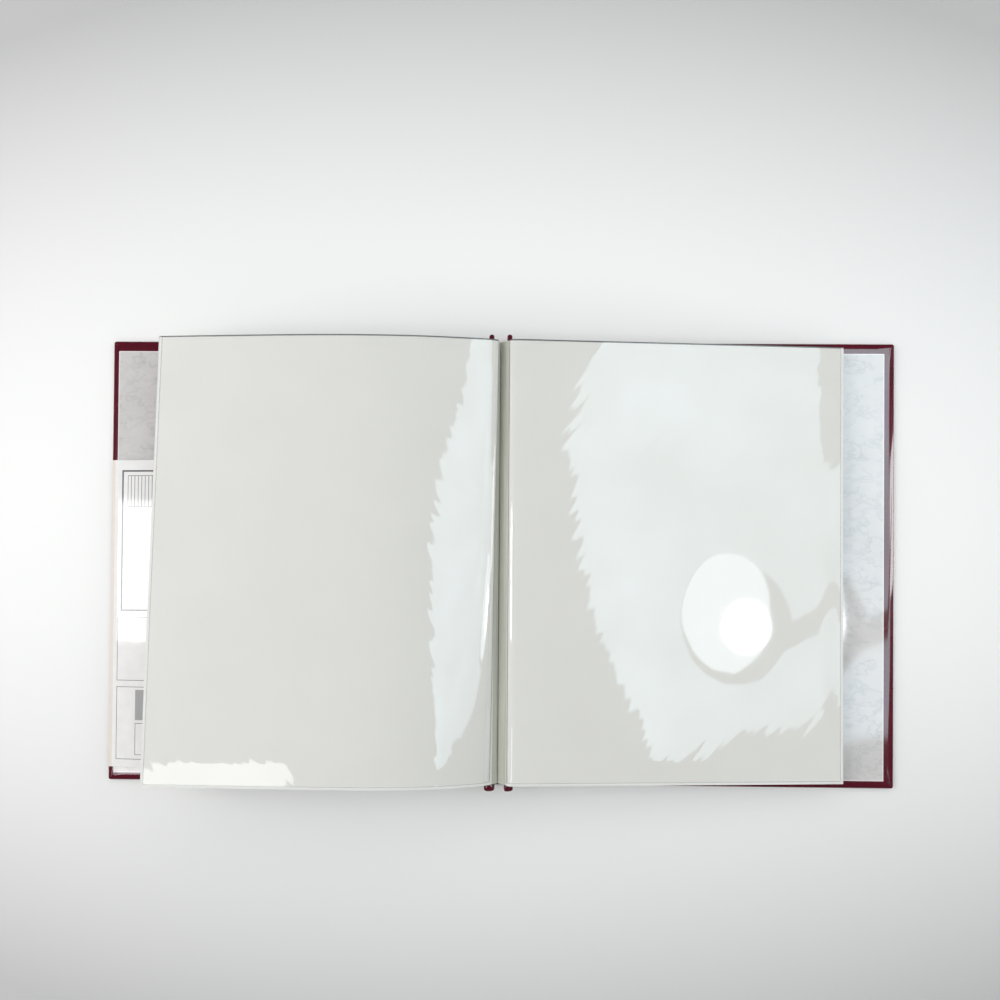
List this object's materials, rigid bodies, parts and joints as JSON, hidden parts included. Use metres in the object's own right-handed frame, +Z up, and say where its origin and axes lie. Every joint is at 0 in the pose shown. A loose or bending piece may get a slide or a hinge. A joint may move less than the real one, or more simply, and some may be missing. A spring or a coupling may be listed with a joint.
{
  "type": "photo album",
  "caption": "Post-bound photo album lying open: leatherette covers that close on hinges, clear top-loading page protectors on screw posts, white page inserts and a loose card.",
  "frame": {"origin": "underside of the spine, at the middle of the open album", "axes": "+X from the front cover to the back cover, +Y to the head of the pages, +Z up out of the open pages"},
  "size_m": [0.5178, 0.294, 0.0427],
  "materials": {
    "leatherette": "fine grained burgundy leatherette with a semi-gloss face",
    "greyboard": "plain grey board",
    "lining": "glossy pale marbled paper",
    "clear_film": "clear glossy polypropylene film",
    "white_paper": "matte white card stock",
    "binding_strip": "folded film binding edge, grey-olive",
    "post_metal": "turned and polished",
    "printed_card": "coated card with plain ruled boxes"
  },
  "bodies": {
    "binding": {"spine_board": "greyboard", "spine_wrap": "leatherette", "front_flap_board": "greyboard", "front_flap_wrap": "leatherette", "back_flap_board": "greyboard", "back_flap_wrap": "leatherette", "post_barrel_1": "post_metal", "post_barrel_2": "post_metal", "post_barrel_3": "post_metal", "left_leaf_1_strip": "binding_strip", "left_leaf_2_strip": "binding_strip", "left_leaf_3_strip": "binding_strip", "left_leaf_4_strip": "binding_strip", "left_leaf_5_strip": "binding_strip", "right_leaf_1_strip": "binding_strip", "right_leaf_2_strip": "binding_strip", "right_leaf_3_strip": "binding_strip", "right_leaf_4_strip": "binding_strip", "right_leaf_5_strip": "binding_strip"},
    "front_cover": {"front_cover_board": "greyboard", "front_cover_wrap": "leatherette", "front_cover_lining": "lining"},
    "back_cover": {"back_cover_board": "greyboard", "back_cover_wrap": "leatherette", "back_cover_lining": "lining"},
    "left_leaf_1": {"left_leaf_1_front_film": "clear_film", "left_leaf_1_back_film": "clear_film"},
    "left_leaf_2": {"left_leaf_2_front_film": "clear_film", "left_leaf_2_back_film": "clear_film"},
    "left_leaf_3": {"left_leaf_3_front_film": "clear_film", "left_leaf_3_back_film": "clear_film"},
    "left_leaf_4": {"left_leaf_4_front_film": "clear_film", "left_leaf_4_back_film": "clear_film"},
    "left_leaf_5": {"left_leaf_5_front_film": "clear_film", "left_leaf_5_back_film": "clear_film"},
    "right_leaf_1": {"right_leaf_1_front_film": "clear_film", "right_leaf_1_back_film": "clear_film"},
    "right_leaf_2": {"right_leaf_2_front_film": "clear_film", "right_leaf_2_back_film": "clear_film"},
    "right_leaf_3": {"right_leaf_3_front_film": "clear_film", "right_leaf_3_back_film": "clear_film"},
    "right_leaf_4": {"right_leaf_4_front_film": "clear_film", "right_leaf_4_back_film": "clear_film"},
    "right_leaf_5": {"right_leaf_5_front_film": "clear_film", "right_leaf_5_back_film": "clear_film"},
    "left_insert_1": {"left_insert_1": "white_paper"},
    "left_insert_2": {"left_insert_2": "white_paper"},
    "left_insert_3": {"left_insert_3": "white_paper"},
    "left_insert_4": {"left_insert_4": "white_paper"},
    "left_insert_5": {"left_insert_5": "white_paper"},
    "right_insert_1": {"right_insert_1": "white_paper"},
    "right_insert_2": {"right_insert_2": "white_paper"},
    "right_insert_3": {"right_insert_3": "white_paper"},
    "right_insert_4": {"right_insert_4": "white_paper"},
    "right_insert_5": {"right_insert_5": "white_paper"},
    "post_screw_1": {"post_screw_1": "post_metal"},
    "post_screw_2": {"post_screw_2": "post_metal"},
    "post_screw_3": {"post_screw_3": "post_metal"},
    "index_card": {"index_card": "printed_card"}
  },
  "joints": [
    {"name": "front_cover_hinge", "type": "hinge", "parent": "binding", "child": "front_cover", "pos_m": [-0.01261, 0, 0.001], "axis": [0, 1, 0], "range_deg": [0, 90]},
    {"name": "back_cover_hinge", "type": "hinge", "parent": "binding", "child": "back_cover", "pos_m": [0.01261, 0, 0.001], "axis": [0, -1, 0], "range_deg": [0, 90]},
    {"name": "left_leaf_1_turn", "type": "hinge", "parent": "binding", "child": "left_leaf_1", "pos_m": [-0.00345, 0, 0.02496], "axis": [0, 1, 0], "range_deg": [0, 85.6]},
    {"name": "left_leaf_2_turn", "type": "hinge", "parent": "binding", "child": "left_leaf_2", "pos_m": [-0.00401, 0, 0.0244], "axis": [0, 1, 0], "range_deg": [0, 87.62]},
    {"name": "left_leaf_3_turn", "type": "hinge", "parent": "binding", "child": "left_leaf_3", "pos_m": [-0.00457, 0, 0.02384], "axis": [0, 1, 0], "range_deg": [0, 89.65]},
    {"name": "left_leaf_4_turn", "type": "hinge", "parent": "binding", "child": "left_leaf_4", "pos_m": [-0.00513, 0, 0.02328], "axis": [0, 1, 0], "range_deg": [0, 91.67]},
    {"name": "left_leaf_5_turn", "type": "hinge", "parent": "binding", "child": "left_leaf_5", "pos_m": [-0.00569, 0, 0.02272], "axis": [0, 1, 0], "range_deg": [0, 93.7]},
    {"name": "right_leaf_1_turn", "type": "hinge", "parent": "right_leaf_2", "child": "right_leaf_1", "pos_m": [0.00557, 0, 0.02708], "axis": [0, 1, 0], "range_deg": [-145, 0]},
    {"name": "right_leaf_2_turn", "type": "hinge", "parent": "binding", "child": "right_leaf_2", "pos_m": [0.00613, 0, 0.02652], "axis": [0, -1, 0], "range_deg": [0, 94.2]},
    {"name": "right_leaf_3_turn", "type": "hinge", "parent": "binding", "child": "right_leaf_3", "pos_m": [0.00669, 0, 0.02596], "axis": [0, -1, 0], "range_deg": [0, 94.2]},
    {"name": "right_leaf_4_turn", "type": "hinge", "parent": "binding", "child": "right_leaf_4", "pos_m": [0.00725, 0, 0.0254], "axis": [0, -1, 0], "range_deg": [0, 94.2]},
    {"name": "right_leaf_5_turn", "type": "hinge", "parent": "binding", "child": "right_leaf_5", "pos_m": [0.00781, 0, 0.02484], "axis": [0, -1, 0], "range_deg": [0, 94.2]},
    {"name": "left_insert_1_slide", "type": "slide", "parent": "left_leaf_1", "child": "left_insert_1", "axis": [0, 1, 0], "range_m": [0, 0.285]},
    {"name": "left_insert_2_slide", "type": "slide", "parent": "left_leaf_2", "child": "left_insert_2", "axis": [0, 1, 0], "range_m": [0, 0.285]},
    {"name": "left_insert_3_slide", "type": "slide", "parent": "left_leaf_3", "child": "left_insert_3", "axis": [0, 1, 0], "range_m": [0, 0.285]},
    {"name": "left_insert_4_slide", "type": "slide", "parent": "left_leaf_4", "child": "left_insert_4", "axis": [0, 1, 0], "range_m": [0, 0.285]},
    {"name": "left_insert_5_slide", "type": "slide", "parent": "left_leaf_5", "child": "left_insert_5", "axis": [0, 1, 0], "range_m": [0, 0.285]},
    {"name": "right_insert_1_slide", "type": "slide", "parent": "right_leaf_1", "child": "right_insert_1", "axis": [0, 1, 0], "range_m": [0, 0.285]},
    {"name": "right_insert_2_slide", "type": "slide", "parent": "right_leaf_2", "child": "right_insert_2", "axis": [0, 1, 0], "range_m": [0, 0.285]},
    {"name": "right_insert_3_slide", "type": "slide", "parent": "right_leaf_3", "child": "right_insert_3", "axis": [0, 1, 0], "range_m": [0, 0.285]},
    {"name": "right_insert_4_slide", "type": "slide", "parent": "right_leaf_4", "child": "right_insert_4", "axis": [0, 1, 0], "range_m": [0, 0.285]},
    {"name": "right_insert_5_slide", "type": "slide", "parent": "right_leaf_5", "child": "right_insert_5", "axis": [0, 1, 0], "range_m": [0, 0.285]},
    {"name": "post_screw_1_out", "type": "slide", "parent": "binding", "child": "post_screw_1", "axis": [1, 0, 0], "range_m": [-0.012, 0]},
    {"name": "post_screw_2_out", "type": "slide", "parent": "binding", "child": "post_screw_2", "axis": [1, 0, 0], "range_m": [-0.012, 0]},
    {"name": "post_screw_3_out", "type": "slide", "parent": "binding", "child": "post_screw_3", "axis": [1, 0, 0], "range_m": [-0.012, 0]},
    {"name": "index_card_slide", "type": "slide", "parent": "front_cover", "child": "index_card", "axis": [1, 0, 0], "range_m": [-0.14, 0]}
  ],
  "couplings": [
    {"joint": "left_leaf_1_turn", "follows": "front_cover_hinge", "ratio": 0.94889},
    {"joint": "left_leaf_2_turn", "follows": "front_cover_hinge", "ratio": 0.97139},
    {"joint": "left_leaf_3_turn", "follows": "front_cover_hinge", "ratio": 0.99389},
    {"joint": "left_leaf_4_turn", "follows": "front_cover_hinge", "ratio": 1.0164},
    {"joint": "left_leaf_5_turn", "follows": "front_cover_hinge", "ratio": 1.0389},
    {"joint": "right_leaf_2_turn", "follows": "back_cover_hinge", "ratio": 1.0444},
    {"joint": "right_leaf_3_turn", "follows": "back_cover_hinge", "ratio": 1.0444},
    {"joint": "right_leaf_4_turn", "follows": "back_cover_hinge", "ratio": 1.0444},
    {"joint": "right_leaf_5_turn", "follows": "back_cover_hinge", "ratio": 1.0444}
  ]
}
